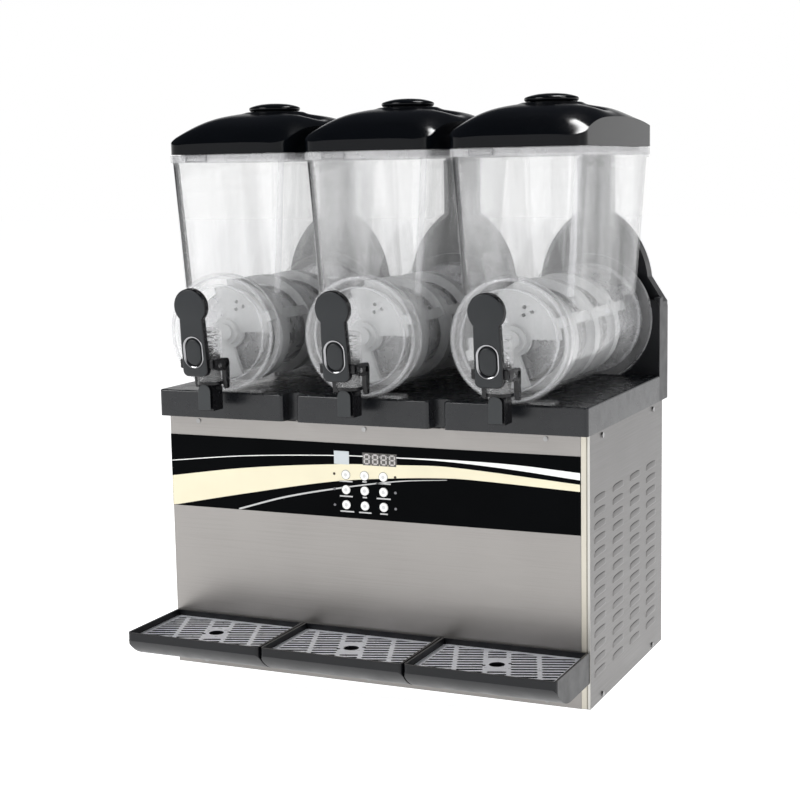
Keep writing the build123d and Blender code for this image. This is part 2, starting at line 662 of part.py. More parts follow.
# ---- augers and shafts ----
AUGER_R = 70
AUGER_INNER = 58
AUGER_PITCH = 88
BAND = 20
AUGER_FRONT = FRONT - 2
AUGER_LENGTH = 272
with BuildPart() as auger:
    with BuildLine():
        spiral = Helix(AUGER_PITCH, AUGER_LENGTH - BAND, (AUGER_R + AUGER_INNER) / 2,
                       center=(0, AUGER_FRONT + BAND / 2, AXIS_Z), direction=(0, 1, 0))
    start = spiral @ 0
    with BuildSketch(Plane(origin=start, x_dir=(0, 1, 0), z_dir=Vector(0, 1, 0).cross(
            start - Vector(0, start.Y, AXIS_Z)))):
        Rectangle(BAND, AUGER_R - AUGER_INNER)
    sweep(path=spiral, is_frenet=True)
    front_plane = Plane.XZ.offset(-AUGER_FRONT).shift_origin((0, AUGER_FRONT, AXIS_Z))
    with BuildSketch(front_plane):
        Circle(22)
        with BuildLine():
            inner_edge = Line((0, 0), (-20, 58))
            outer_edge = ThreePointArc(inner_edge @ 1, (28, 54), (61, 0))
            Line(outer_edge @ 1, inner_edge @ 0)
        make_face()
        with BuildLine():
            lower_in = Line((0, 0), (20, -58))
            lower_out = ThreePointArc(lower_in @ 1, (-28, -54), (-61, 0))
            Line(lower_out @ 1, lower_in @ 0)
        make_face()
        with Locations((14, 40), (24, 34), (13, 30)):
            Circle(2.6, mode=Mode.SUBTRACT)
    extrude(amount=-6)
    for angle in (20, 200):
        bar_x = (AUGER_INNER + 5) * cos(radians(angle))
        bar_z = (AUGER_INNER + 5) * sin(radians(angle))
        with BuildSketch(front_plane):
            with Locations((bar_x, bar_z)):
                Rectangle(8, 13, rotation=angle)
        extrude(amount=-(AUGER_LENGTH - BAND / 2))
    with BuildSketch(front_plane):
        Circle(17)
    extrude(amount=7)
    with BuildSketch(front_plane.offset(7)):
        Circle(11)
    extrude(amount=5)
    with BuildSketch(front_plane.offset(-6)):
        Circle(SHAFT_R + 0.05)
    extrude(amount=14, mode=Mode.SUBTRACT)
save_three(auger.part, "auger", SIDES)

with BuildPart() as drive_shaft:
    with BuildSketch(Plane.XZ.offset(-AUGER_FRONT + 6).shift_origin((0, AUGER_FRONT - 6, AXIS_Z))):
        Circle(SHAFT_R)
    extrude(amount=-(HOUSING_FRONT + MOTOR_GAP + 20 - AUGER_FRONT + 6))
    chamfer(drive_shaft.edges().filter_by(GeomType.CIRCLE), 0.8)
save_three(drive_shaft.part, "drive_shaft", SIDES)

# ---- lids and filler caps ----
LID_W = RIM_W
LID_D = RIM_D + 3
CAP_Y = FRONT + 145
CAP_R = 35.5
FILL_R = 27


def lid_body(inset):
    """Lid block: the side profile and the front profile, both cut to the rounded plan."""
    low = RIM_Z + 0.3
    over = 5                 # the profiles run past the plan, so that only the plan makes the sides
    start_y = FRONT + inset
    end_y = FRONT + LID_D - inset
    half = LID_W / 2 - inset
    with BuildPart() as block:
        with BuildSketch(Plane.YZ.offset(-half - over)):
            with BuildLine():
                base_line = Line((end_y + over, low), (start_y - over, low))
                nose = Line(base_line @ 1, (start_y - over, low + 12 - inset))
                rise = Spline(
                    nose @ 1,
                    (FRONT + 45, low + 28 - inset),
                    (FRONT + 105, low + 49 - inset),
                    (FRONT + 150, low + LID_CROWN - inset),
                    (FRONT + 240, low + 45 - inset),
                    (end_y + over, low + 22 - inset),
                    tangents=((0.9, 0.25), (0.8, -0.4)),
                )
                Line(rise @ 1, base_line @ 0)
            make_face()
        extrude(amount=2 * (half + over))
        with BuildSketch(Plane.XZ.offset(-end_y - over)):
            with BuildLine():
                side_up = Line((-half - over, low - 1), (-half - over, low + 34 - inset))
                crown = ThreePointArc(
                    side_up @ 1, (0, low + LID_CROWN + 1 - inset), (half + over, low + 34 - inset))
                Polyline(crown @ 1, (half + over, low - 1), (-half - over, low - 1))
            make_face()
        extrude(amount=end_y - start_y + 2 * over, mode=Mode.INTERSECT)
        with BuildSketch(Plane.XY.offset(low)):
            with Locations((0, (start_y + end_y) / 2)):
                RectangleRounded(2 * half, end_y - start_y, 22 - inset)
        extrude(amount=LID_CROWN + 4, mode=Mode.INTERSECT)
    return block.part


lid_shell = lid_body(0)
lid_inside = lid_body(2.5)
with BuildPart() as lid:
    add(lid_shell)
    with BuildSketch(Plane.XY.offset(RIM_Z + 24)):
        with Locations((0, CAP_Y)):
            Circle(CAP_R + 2)
    extrude(amount=LID_CROWN - 23)
    add(lid_inside, mode=Mode.SUBTRACT)
    with BuildSketch(Plane.XY.offset(RIM_Z + 0.3)):
        with Locations((0, CAP_Y)):
            Circle(FILL_R)
    extrude(amount=LID_CROWN + 4, mode=Mode.SUBTRACT)
    with BuildSketch(Plane.XY.offset(RIM_Z - 6)):
        with Locations((0, RIM_Y)):
            RectangleRounded(RIM_W - 13, RIM_D - 13, 14)
            RectangleRounded(RIM_W - 18, RIM_D - 18, 12, mode=Mode.SUBTRACT)
    extrude(amount=6.3)
    with BuildSketch(Plane.XY.offset(RIM_Z + 0.3)):
        with Locations((0, RIM_Y)):
            RectangleRounded(RIM_W - 4, RIM_D - 4, 20)
            RectangleRounded(RIM_W - 18, RIM_D - 18, 12, mode=Mode.SUBTRACT)
    extrude(amount=3)
save_three(lid.part, "lid", SIDES)

CAP_LOW = RIM_Z + LID_CROWN + 1.4
with BuildPart() as filler_cap:
    with BuildSketch(Plane.XY.offset(CAP_LOW)):
        with Locations((0, CAP_Y)):
            Circle(CAP_R)
    extrude(amount=CAP_H)
    fillet(filler_cap.edges().group_by(Axis.Z)[-1], 7)
    chamfer(filler_cap.edges().group_by(Axis.Z)[0], 1.5)
    with BuildSketch(Plane.XY.offset(CAP_LOW - 12)):
        with Locations((0, CAP_Y)):
            Circle(FILL_R - 0.8)
            Circle(FILL_R - 3.5, mode=Mode.SUBTRACT)
    extrude(amount=12)
save_three(filler_cap.part, "filler_cap", SIDES)

# ---- drip trays and grilles ----
GRILLE_H = 2
GRILLE_TOP = TRAY_TOP - 7.5     # the grille lies this low inside the tray's rim
with BuildPart() as drip_tray:
    for wall, mode in ((0, Mode.ADD), (PLASTIC, Mode.SUBTRACT)):
        half = TRAY_W / 2 - wall
        front_y = FRONT - TRAY_REACH + wall
        rear_y = front_y + TRAY_D - 2 * wall
        with BuildSketch(Plane.YZ.offset(-half)):
            with BuildLine():
                rim_drop = Line((front_y, TRAY_TOP + wall), (front_y, TRAY_TOP - 11 + wall / 2))
                belly = ThreePointArc(
                    rim_drop @ 1,
                    (front_y + 20, TRAY_TOP - 30 + wall),
                    (front_y + 56, TRAY_TOP - TRAY_H + wall),
                )
                Polyline(
                    belly @ 1,
                    (rear_y, TRAY_TOP - TRAY_H + wall),
                    (rear_y, TRAY_TOP + wall),
                    rim_drop @ 0,
                )
            make_face()
        extrude(amount=2 * half, mode=mode)
    fillet(drip_tray.edges().filter_by(Axis.Z).group_by(Axis.Y)[0].sort_by(SortBy.LENGTH)[-2:], 6)
    with BuildSketch(Plane.XY.offset(GRILLE_TOP - GRILLE_H - 3)):
        with Locations((0, FRONT - TRAY_REACH + TRAY_D / 2)):
            Rectangle(TRAY_W - PLASTIC, TRAY_D - PLASTIC)
            Rectangle(TRAY_W - 14, TRAY_D - 14, mode=Mode.SUBTRACT)
    extrude(amount=2.6)
    with BuildSketch(Plane.XZ.offset(-(FRONT - 1)).shift_origin((0, FRONT - 1, TRAY_TOP - 14))):
        with Locations((-60, 0), (60, 0)):
            Rectangle(21, 4.5)
    extrude(amount=-9)
save_three(drip_tray.part, "drip_tray", TRAYS)

SLOT_ANGLE = 20
SLOT_STEP = 10.4
GRILLE_W = TRAY_W - 2 * PLASTIC - 1
GRILLE_D = TRAY_D - 2 * PLASTIC - 1
with BuildPart() as drip_grille:
    grille_plane = Plane.XY.offset(GRILLE_TOP - GRILLE_H).shift_origin(
        (0, FRONT - TRAY_REACH + TRAY_D / 2, GRILLE_TOP - GRILLE_H))
    with BuildSketch(grille_plane):
        RectangleRounded(GRILLE_W, GRILLE_D, 4)
    extrude(amount=GRILLE_H)
    with BuildSketch(grille_plane):
        for row in range(-8, 9):
            shift = row * SLOT_STEP
            for slot_mid, slot_length in ((-76, 42), (-33.5, 33), (0, 24), (33.5, 33), (76, 42)):
                along = slot_mid
                centre_x = along * cos(radians(SLOT_ANGLE)) - shift * sin(radians(SLOT_ANGLE))
                centre_y = along * sin(radians(SLOT_ANGLE)) + shift * cos(radians(SLOT_ANGLE))
                if centre_x ** 2 + centre_y ** 2 > 27 ** 2:
                    with Locations((centre_x, centre_y)):
                        SlotOverall(slot_length, 5.2, rotation=SLOT_ANGLE)
        Rectangle(GRILLE_W - 16, GRILLE_D - 14, mode=Mode.INTERSECT)
        with Locations((0, 0)):
            Circle(10)
        with Locations((-14, -9), (14, 9)):
            Circle(2.5)
    extrude(amount=GRILLE_H, mode=Mode.SUBTRACT)
save_three(drip_grille.part, "drip_grille", TRAYS)
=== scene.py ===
from math import cos, exp, pi, radians, sin, sqrt

import bmesh
import bpy
from mathutils import Matrix, Vector


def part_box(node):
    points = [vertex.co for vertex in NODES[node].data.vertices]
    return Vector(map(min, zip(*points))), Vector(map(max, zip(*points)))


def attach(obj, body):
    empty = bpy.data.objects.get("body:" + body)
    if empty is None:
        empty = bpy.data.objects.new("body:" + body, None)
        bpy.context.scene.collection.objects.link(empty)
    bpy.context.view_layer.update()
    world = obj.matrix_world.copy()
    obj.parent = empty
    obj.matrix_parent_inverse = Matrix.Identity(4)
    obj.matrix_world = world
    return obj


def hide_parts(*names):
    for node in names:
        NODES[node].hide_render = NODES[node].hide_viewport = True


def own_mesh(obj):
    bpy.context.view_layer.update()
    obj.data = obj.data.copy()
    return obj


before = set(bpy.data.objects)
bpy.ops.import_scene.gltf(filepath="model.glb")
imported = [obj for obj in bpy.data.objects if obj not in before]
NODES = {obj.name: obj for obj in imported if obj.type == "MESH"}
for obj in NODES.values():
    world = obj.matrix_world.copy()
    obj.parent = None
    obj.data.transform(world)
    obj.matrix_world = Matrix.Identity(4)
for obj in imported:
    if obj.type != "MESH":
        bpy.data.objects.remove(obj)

MM = 0.001
WELD = 1e-6
SCENE = bpy.context.scene
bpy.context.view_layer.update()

# ---- places, in millimetres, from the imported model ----


def node_box(node):
    """Lowest and highest corner of a CAD node in millimetres."""
    low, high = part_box(node)
    return low / MM, high / MM


SIDES = ("left", "middle", "right")
SHAFTS = {side: node_box("drive_shaft_" + side) for side in SIDES}
AXIS_X = {side: round((low.x + high.x) / 2, 3) for side, (low, high) in SHAFTS.items()}
AXIS_Z = (SHAFTS["middle"][0].z + SHAFTS["middle"][1].z) / 2
FRONT = node_box("front_panel")[0].y
OVERLAY_LOW, OVERLAY_HIGH = node_box("control_overlay")
RIM = node_box("bowl_left")[1].z


# ---- materials ----


class Finish:
    """A Principled material with a few ready-made kinds of surface detail."""

    def __init__(self, name, color, roughness, metallic=0.0, specular=0.5):
        self.material = bpy.data.materials.new(name)
        self.material.use_nodes = True
        self.tree = self.material.node_tree
        self.shader = self.tree.nodes["Principled BSDF"]
        self.color = color
        self.set("Base Color", (*color, 1.0))
        self.set("Roughness", roughness)
        self.set("Metallic", metallic)
        self.set("Specular IOR Level", specular)
        self.place = self.node("ShaderNodeTexCoord").outputs["Object"]
        self.height = None

    def node(self, kind, **settings):
        made = self.tree.nodes.new(kind)
        for key, value in settings.items():
            setattr(made, key, value)
        return made

    def set(self, socket, value):
        self.shader.inputs[socket].default_value = value

    def link(self, out, into):
        self.tree.links.new(out, into)

    def noise(self, scale, stretch=(1, 1, 1), detail=4.0, roughness=0.55):
        """Noise in object space, scale in features per metre."""
        mapping = self.node("ShaderNodeMapping")
        mapping.inputs["Scale"].default_value = stretch
        self.link(self.place, mapping.inputs["Vector"])
        noise = self.node("ShaderNodeTexNoise")
        noise.inputs["Scale"].default_value = scale
        noise.inputs["Detail"].default_value = detail
        noise.inputs["Roughness"].default_value = roughness
        self.link(mapping.outputs["Vector"], noise.inputs["Vector"])
        return noise.outputs["Fac"]

    def ramp(self, fac, low, high, start=0.3, end=0.7):
        """Colour that goes from low to high as fac goes from start to end."""
        ramp = self.node("ShaderNodeValToRGB")
        ramp.color_ramp.elements[0].position = start
        ramp.color_ramp.elements[1].position = end
        ramp.color_ramp.elements[0].color = (*low, 1.0)
        ramp.color_ramp.elements[1].color = (*high, 1.0)
        self.link(fac, ramp.inputs["Fac"])
        return ramp.outputs["Color"]

    def spread(self, fac, low, high, start=0.3, end=0.7):
        """Number that goes from low to high as fac goes from start to end."""
        spread = self.node("ShaderNodeMapRange")
        spread.inputs["From Min"].default_value = start
        spread.inputs["From Max"].default_value = end
        spread.inputs["To Min"].default_value = low
        spread.inputs["To Max"].default_value = high
        self.link(fac, spread.inputs["Value"])
        return spread.outputs["Result"]

    def tint(self, fac, share, start=0.3, end=0.7):
        """Colour that wanders by a share of itself either way."""
        low = tuple(c * (1 - share) for c in self.color)
        high = tuple(min(1.0, c * (1 + share)) for c in self.color)
        self.link(self.ramp(fac, low, high, start, end), self.shader.inputs["Base Color"])

    def gloss(self, fac, low, high, start=0.3, end=0.7):
        """Roughness that wanders from low to high."""
        self.link(self.spread(fac, low, high, start, end), self.shader.inputs["Roughness"])

    def bump(self, fac, strength, distance):
        """Relief on top of any that is there already, distance in metres."""
        bump = self.node("ShaderNodeBump")
        bump.inputs["Strength"].default_value = strength
        bump.inputs["Distance"].default_value = distance
        self.link(fac, bump.inputs["Height"])
        if self.height is not None:
            self.link(self.height, bump.inputs["Normal"])
        self.height = bump.outputs["Normal"]
        self.link(self.height, self.shader.inputs["Normal"])


# depth in metres of a grain that hardly shows
FLAT = 0.00001


def moulded(name, color, roughness, specular=0.5, grain=900.0, depth=0.00004, wander=0.12):
    """Moulded plastic or rubber: fine grain, a slow drift of gloss and colour."""
    finish = Finish(name, color, roughness, specular=specular)
    finish.tint(finish.noise(14.0, detail=3.0), wander)
    finish.gloss(finish.noise(45.0), roughness * 0.85, roughness * 1.2)
    finish.bump(finish.noise(grain, detail=2.0), 0.25, depth)
    return finish.material


def brushed(name, color, roughness, along, strength=0.10):
    """Sheet metal with fine strokes along one axis and broad cloudiness."""
    stretch = [260.0, 260.0, 260.0]
    stretch["xyz".index(along)] = 2.5
    finish = Finish(name, color, roughness, metallic=1.0)
    strokes = finish.noise(3.0, stretch=stretch, detail=5.0, roughness=0.7)
    cloud = finish.noise(5.0, detail=2.0)
    mix = finish.node("ShaderNodeMath", operation="ADD")
    finish.link(strokes, mix.inputs[0])
    finish.link(cloud, mix.inputs[1])
    finish.tint(mix.outputs[0], 0.05, 0.75, 1.25)
    finish.gloss(strokes, roughness * 0.85, roughness * 1.2)
    finish.bump(strokes, strength, 0.0002)
    return finish.material


def frosted_metal(name, color, roughness, grain=0.2):
    """Bead-blasted, cast or plated metal: cloudy gloss and a fine pebbled relief."""
    finish = Finish(name, color, roughness, metallic=1.0)
    finish.tint(finish.noise(22.0), 0.12)
    finish.gloss(finish.noise(60.0), roughness * 0.7, roughness * 1.3)
    finish.bump(finish.noise(420.0), grain, 0.00006)
    return finish.material


def clear(name, color, roughness, ior=1.49):
    """Clear moulded plastic with faint flow marks and a thin hazy veil whose upright streaks are partly
    painted reflection.
    """
    thin, thick = 0.12, 0.34
    finish = Finish(name, color, roughness)
    finish.set("Transmission Weight", 0.6)
    finish.set("IOR", ior)
    finish.set("Alpha", (thin + thick) / 2)
    flow = finish.noise(9.0, stretch=(1, 1, 0.35), detail=2.0)
    finish.bump(flow, 0.05, 0.0006)
    finish.gloss(finish.noise(30.0), roughness * 0.6, roughness * 1.6)
    # a hazy veil as from washing, in soft upright streaks either side of that alpha, which are also painted
    # reflection of the upright bright streaks
    haze_and_reflection_streaks = finish.noise(16.0, stretch=(1, 1, 0.12), detail=3.0)
    finish.link(finish.spread(haze_and_reflection_streaks, thin, thick, 0.36, 0.64), finish.shader.inputs["Alpha"])
    return finish.material


def hazy(name, color, roughness, alpha, wander=0.1):
    """The same plastic where it is thick or edge-on and looks nearly solid; on the ribs and rolled edges its
    colour is painted shade and painted highlight.
    """
    finish = Finish(name, color, roughness)
    finish.tint(finish.noise(20.0), wander)
    finish.set("Alpha", alpha)
    return finish.material


def punched(name, color, slot_side_shade, roughness):
    """Sheet metal in its own colour on its top, with painted shade in a near-black down the sides of its
    punched slots.
    """
    finish = Finish(name, color, roughness, metallic=0.2)
    split = finish.node("ShaderNodeSeparateXYZ")
    finish.link(finish.node("ShaderNodeNewGeometry").outputs["Normal"], split.inputs["Vector"])
    # painted shade: how much of the metal's own colour a face keeps follows how far it points up
    top = finish.spread(split.outputs["Z"], 0.0, 1.0, 0.55, 0.85)
    wear = finish.spread(finish.noise(35.0), 0.88, 1.0)
    share = finish.node("ShaderNodeMath", operation="MULTIPLY")
    finish.link(top, share.inputs[0])
    finish.link(wear, share.inputs[1])
    finish.link(finish.ramp(share.outputs[0], slot_side_shade, color, 0.0, 1.0), finish.shader.inputs["Base Color"])
    finish.gloss(finish.noise(80.0), roughness * 0.8, roughness * 1.3)
    finish.bump(finish.noise(500.0), 0.15, 0.00005)
    return finish.material


def printed(name, color, roughness=0.35, specular=0.4, wander=0.05):
    """Ink, a window or a lamp lens on the control strip: nearly flat."""
    return moulded(name, color, roughness, specular, 300.0, FLAT, wander)


STEEL_FRONT = brushed("steel_front", (0.285, 0.273, 0.262), 0.34, "x")
# side and rear panels: the front's brushed steel painted darker, as painted shade
STEEL_SIDE_SHADED = brushed("steel_side_painted_shade", (0.178, 0.173, 0.170), 0.38, "y")
GALVANISED = frosted_metal("galvanised", (0.42, 0.43, 0.44), 0.42)
RUBBER = moulded("rubber", (0.018, 0.018, 0.018), 0.75, 0.3, 600.0)
GASKET = moulded("gasket", (0.03, 0.03, 0.032), 0.6, 0.35, 500.0)
SCREWS = frosted_metal("screw_steel", (0.33, 0.33, 0.33), 0.35)
OVERLAY_BLACK = moulded("overlay_black", (0.0015, 0.0018, 0.0022), 0.35, 0.02, 700.0, FLAT)
DISPLAY = moulded("display_dark", (0.05, 0.05, 0.05), 0.2, 0.5, 900.0, FLAT)
BLACK_SATIN = moulded("black_satin", (0.006, 0.0065, 0.008), 0.33, 0.28)
DECK_SATIN = moulded("deck_satin", (0.008, 0.009, 0.011), 0.26, 0.42)
GLOSS_BLACK = moulded("gloss_black", (0.002, 0.0025, 0.0035), 0.15, 0.20, 500.0, FLAT)
DRUM_STEEL = frosted_metal("drum_steel", (0.50, 0.50, 0.51), 0.27, 0.04)
MOTOR_GREY = frosted_metal("motor_grey", (0.2, 0.2, 0.21), 0.5)
COMPRESSOR = moulded("compressor_black", (0.015, 0.015, 0.016), 0.4)
FINS = frosted_metal("fin_aluminium", (0.6, 0.61, 0.62), 0.4)
FAN_GREY = moulded("fan_grey", (0.12, 0.12, 0.125), 0.5)
BUTTON_WHITE = moulded("button_white", (0.86, 0.86, 0.84), 0.35)
CLEAR = clear("clear_polycarbonate", (0.97, 0.975, 0.98), 0.02)
AUGER_WHITE = moulded("auger_white", (0.50, 0.505, 0.51), 0.30, 0.5, 500.0)
LEVER_GREY = moulded("lever_grey", (0.010, 0.012, 0.014), 0.42, 0.36, 1400.0, 0.00006)
LEVER_BLACK = moulded("lever_black", (0.003, 0.003, 0.004), 0.26, 0.35)
# second colour: painted shade down the sides of the grille's slots
GRILLE = punched("grille_steel", (0.80, 0.81, 0.86), (0.010, 0.010, 0.012), 0.30)
SHAFT = frosted_metal("shaft_steel", (0.5, 0.5, 0.5), 0.25)
RING_CHROME = frosted_metal("ring_chrome", (0.34, 0.34, 0.35), 0.16)
# the spout's face colour is painted light: lighter than the black sides because the face looks to the front
SPOUT_PAINTED_LIGHT = moulded("spout_painted_light", (0.022, 0.025, 0.027), 0.42, 0.4)
PRINT_CREAM = printed("print_cream", (0.79, 0.735, 0.55), specular=0.2, wander=0.03)
PRINT_WHITE = printed("print_white", (0.90, 0.90, 0.88), wander=0.03)
PRINT_SILVER = printed("print_silver", (0.52, 0.52, 0.52))
WINDOW_PALE = printed("window_pale", (0.54, 0.58, 0.60), 0.25, 0.3)
DIGIT_BED = printed("digit_bed", (0.10, 0.095, 0.09), specular=0.3)
DIGIT_LIT = printed("digit_lit", (0.50, 0.48, 0.47), specular=0.3)
LAMP_DARK = printed("lamp_dark", (0.06, 0.045, 0.03), 0.2, 0.5, 0.12)
LAMP_GREY = printed("lamp_grey", (0.16, 0.16, 0.17), 0.2, 0.5, 0.12)
BUTTON_MARK = printed("button_mark", (0.62, 0.62, 0.62), specular=0.5, wander=0.12)
# painted shade for the dark band down each bowl's left corner, painted highlight for the pale lines of the
# right corner and the rolled edges
RIB_PAINTED_SHADE = hazy("rib_painted_shade", (0.006, 0.006, 0.008), 0.15, 0.92, 0.2)
RIB_PAINTED_HIGHLIGHT = hazy("rib_painted_highlight", (0.8, 0.8, 0.82), 0.15, 0.24)
RIM_HAZE = hazy("rim_haze", (0.66, 0.66, 0.67), 0.2, 0.35)
CLIP_GREY = hazy("clip_grey", (0.25, 0.25, 0.26), 0.3, 0.7)
# strips of painted reflection, painted shade and painted highlight on the steel at the right front corner
TRIM_PAINTED_REFLECTION = brushed("trim_painted_reflection", (0.56, 0.53, 0.46), 0.42, "z", 0.05)
TRIM_PAINTED_SHADE = brushed("trim_painted_shade", (0.26, 0.245, 0.21), 0.45, "z", 0.05)
TRIM_PAINTED_HIGHLIGHT = brushed("trim_painted_highlight", (0.55, 0.54, 0.51), 0.4, "z", 0.05)

LOOKS = {
    "base_pan": GALVANISED,
    "feet": RUBBER,
    "front_panel": STEEL_FRONT,
    "side_panel_left": STEEL_SIDE_SHADED,
    "side_panel_right": STEEL_SIDE_SHADED,
    "rear_panel": STEEL_SIDE_SHADED,
    "panel_screws": SCREWS,
    "control_overlay": OVERLAY_BLACK,
    "display_board": DISPLAY,
    "deck": DECK_SATIN,
    "rear_housing": BLACK_SATIN,
    "evaporators": DRUM_STEEL,
    "gear_motors": MOTOR_GREY,
    "bowl_gaskets": GASKET,
    "compressor": COMPRESSOR,
    "condenser": FINS,
    "fan": FAN_GREY,
    "cable_gland": BLACK_SATIN,
    "button": BUTTON_WHITE,
    "bowl": CLEAR,
    "spout": LEVER_BLACK,
    "tap_lever": LEVER_GREY,
    "tap_piston": LEVER_BLACK,
    "tap_spring": SHAFT,
    "auger": AUGER_WHITE,
    "drive_shaft": SHAFT,
    "lid": GLOSS_BLACK,
    "filler_cap": GLOSS_BLACK,
    "drip_tray": BLACK_SATIN,
    "drip_grille": GRILLE,
}


def look_of(node):
    """Material of a CAD node, by its name or by its name without the last word."""
    if node in LOOKS:
        return LOOKS[node]
    return LOOKS[node.rsplit("_", 1)[0]]


for name, node in NODES.items():
    node.data.materials.clear()
    node.data.materials.append(look_of(name))

# ---- shape helpers ----


def piece(name, points, faces, material, body, slot=None, hides=(), crisp=35.0):
    """Mesh object from points in millimetres, riding on a body and standing for the CAD nodes in hides.

    Edges sharper than crisp, in degrees, stay sharp."""
    mesh = bpy.data.meshes.new(name)
    mesh.from_pydata([[c * MM for c in point] for point in points], [], faces)
    mesh.validate()
    mesh.materials.append(material)
    tidy = bmesh.new()
    tidy.from_mesh(mesh)
    bmesh.ops.remove_doubles(tidy, verts=tidy.verts, dist=WELD)
    bmesh.ops.recalc_face_normals(tidy, faces=tidy.faces)
    tidy.to_mesh(mesh)
    tidy.free()
    made = bpy.data.objects.new(name, mesh)
    SCENE.collection.objects.link(made)
    shade(made, crisp)
    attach(made, body)
    if hides:
        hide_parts(*hides)
    return made


def shade(made, crisp):
    """Smooth shading, apart from edges sharper than crisp."""
    for face in made.data.polygons:
        face.use_smooth = True
    made.data.set_sharp_from_angle(angle=radians(crisp))


def bevel(made, width, segments=3, angle=40.0):
    """Round the edges that are sharper than angle."""
    modifier = made.modifiers.new("bevel", "BEVEL")
    modifier.width = width * MM
    modifier.segments = segments
    modifier.limit_method = "ANGLE"
    modifier.angle_limit = radians(angle)


def settle(made, crisp=35.0):
    """Turn a piece's modifiers into plain mesh."""
    mesh = bpy.data.meshes.new_from_object(made.evaluated_get(bpy.context.evaluated_depsgraph_get()))
    made.modifiers.clear()
    made.data = mesh
    shade(made, crisp)


def carve(made, cutter):
    """Cut the cutter's shape out of a piece, then throw the cutter away."""
    modifier = made.modifiers.new("cut", "BOOLEAN")
    modifier.operation = "DIFFERENCE"
    modifier.solver = "EXACT"
    modifier.object = cutter
    settle(made)
    bpy.data.objects.remove(cutter)


def ring_faces(count, around, cap=True):
    """Faces of a skin over rings of points, each ring with the same number round it."""
    faces = []
    for row in range(count - 1):
        for k in range(around):
            a = row * around + k
            b = row * around + (k + 1) % around
            faces.append((a, b, b + around, a + around))
    if cap:
        faces.append(tuple(reversed(range(around))))
        faces.append(tuple(range((count - 1) * around, count * around)))
    return faces


def grid_faces(rows, wide, base=0):
    """Faces of a sheet of points in rows of wide points each."""
    return [(a, a + 1, a + 1 + wide, a + wide)
            for row in range(rows - 1)
            for a in range(base + row * wide, base + (row + 1) * wide - 1)]


def skin(name, rings, *rest, cap=True, **named):
    """Piece whose surface runs over rings of points, with flat ends if cap."""
    points = [point for ring in rings for point in ring]
    return piece(name, points, ring_faces(len(rings), len(rings[0]), cap), *rest, **named)


def lathe(name, profile, centre, along, *rest, around=72, cap=True, **named):
    """Turned piece: profile of (radius, distance along the axis) from a centre."""
    centre = Vector(centre)
    axis, first, second = {
        "x": (Vector((1, 0, 0)), Vector((0, 1, 0)), Vector((0, 0, 1))),
        "y": (Vector((0, 1, 0)), Vector((0, 0, 1)), Vector((1, 0, 0))),
        "z": (Vector((0, 0, 1)), Vector((1, 0, 0)), Vector((0, 1, 0))),
    }[along]
    angles = [2 * pi * k / around for k in range(around)]
    rings = [[centre + axis * distance + (first * cos(angle) + second * sin(angle)) * radius
              for angle in angles] for radius, distance in profile]
    return skin(name, rings, *rest, cap=cap, **named)


def hoop(name, radius, thick, centre, along, *rest, **named):
    """Ring of round section: a small circle of radius thick turned round an axis."""
    profile = [(radius + thick * cos(radians(a)), thick * sin(radians(a))) for a in range(0, 360, 30)]
    lathe(name, profile + [profile[0]], centre, along, *rest, cap=False, crisp=60, **named)


def slab(name, outline, spot, depth, *rest, **named):
    """Flat piece: an outline in a plane given by the function spot(u, v, w), from w = 0 to depth."""
    rings = [[spot(u, v, w) for u, v in outline] for w in (0, depth)]
    return skin(name, rings, *rest, **named)


def collar(name, outer, inner, spot, start, end, *rest, **named):
    """Band between two outlines of the plane given by spot, from w = start to end."""
    rings = [[spot(u, v, w) for u, v in outline] for outline, w in (
        (outer, start), (outer, end), (inner, end), (inner, start))]
    skin(name, rings + [rings[0]], *rest, cap=False, **named)


def front_spot(x, y, z):
    """Plane that faces the front: u to the right, v up, w forward, from a point."""
    return lambda u, v, w: (x + u, y - w, z + v)


def side_spot(x):
    """Plane across the machine: u along y, v along z, w along x from x."""
    return lambda u, v, w: (x + w, u, v)


def plan_spot(x):
    """Level plane: u along x from x, v along y, w along z."""
    return lambda u, v, w: (x + u, v, w)


def rectangle(left, low, right, high):
    """Corners of an upright rectangle in a plane."""
    return [(left, low), (right, low), (right, high), (left, high)]


def arc(centre, radius, start, end, steps):
    """Points of an arc in a plane, angles in degrees."""
    angles = [radians(start + (end - start) * k / steps) for k in range(steps + 1)]
    return [(centre[0] + radius * cos(angle), centre[1] + radius * sin(angle)) for angle in angles]


def oval(width, height, centre=(0, 0)):
    """Upright slot shape with round ends."""
    radius, straight, steps = width / 2, (height - width) / 2, 24
    return (arc((centre[0], centre[1] + straight), radius, 0, 180, steps)
            + arc((centre[0], centre[1] - straight), radius, 180, 360, steps))


def curve_through(knots, x):
    """Smooth height at x through knots of (x, height): Catmull-Rom, level beyond the end knots."""
    if x <= knots[0][0]:
        return knots[0][1]
    if x >= knots[-1][0]:
        return knots[-1][1]
    for i in range(len(knots) - 1):
        (x1, y1), (x2, y2) = knots[i], knots[i + 1]
        if x <= x2:
            x0, y0 = knots[i - 1] if i else (2 * x1 - x2, 2 * y1 - y2)
            x3, y3 = knots[i + 2] if i + 2 < len(knots) else (2 * x2 - x1, 2 * y2 - y1)
            t = (x - x1) / (x2 - x1)
            m1 = (y2 - y0) / (x2 - x0) * (x2 - x1)
            m2 = (y3 - y1) / (x3 - x1) * (x2 - x1)
            return ((2 * t**3 - 3 * t**2 + 1) * y1 + (t**3 - 2 * t**2 + t) * m1
                    + (3 * t**2 - 2 * t**3) * y2 + (t**3 - t**2) * m2)


# ---- lids ----

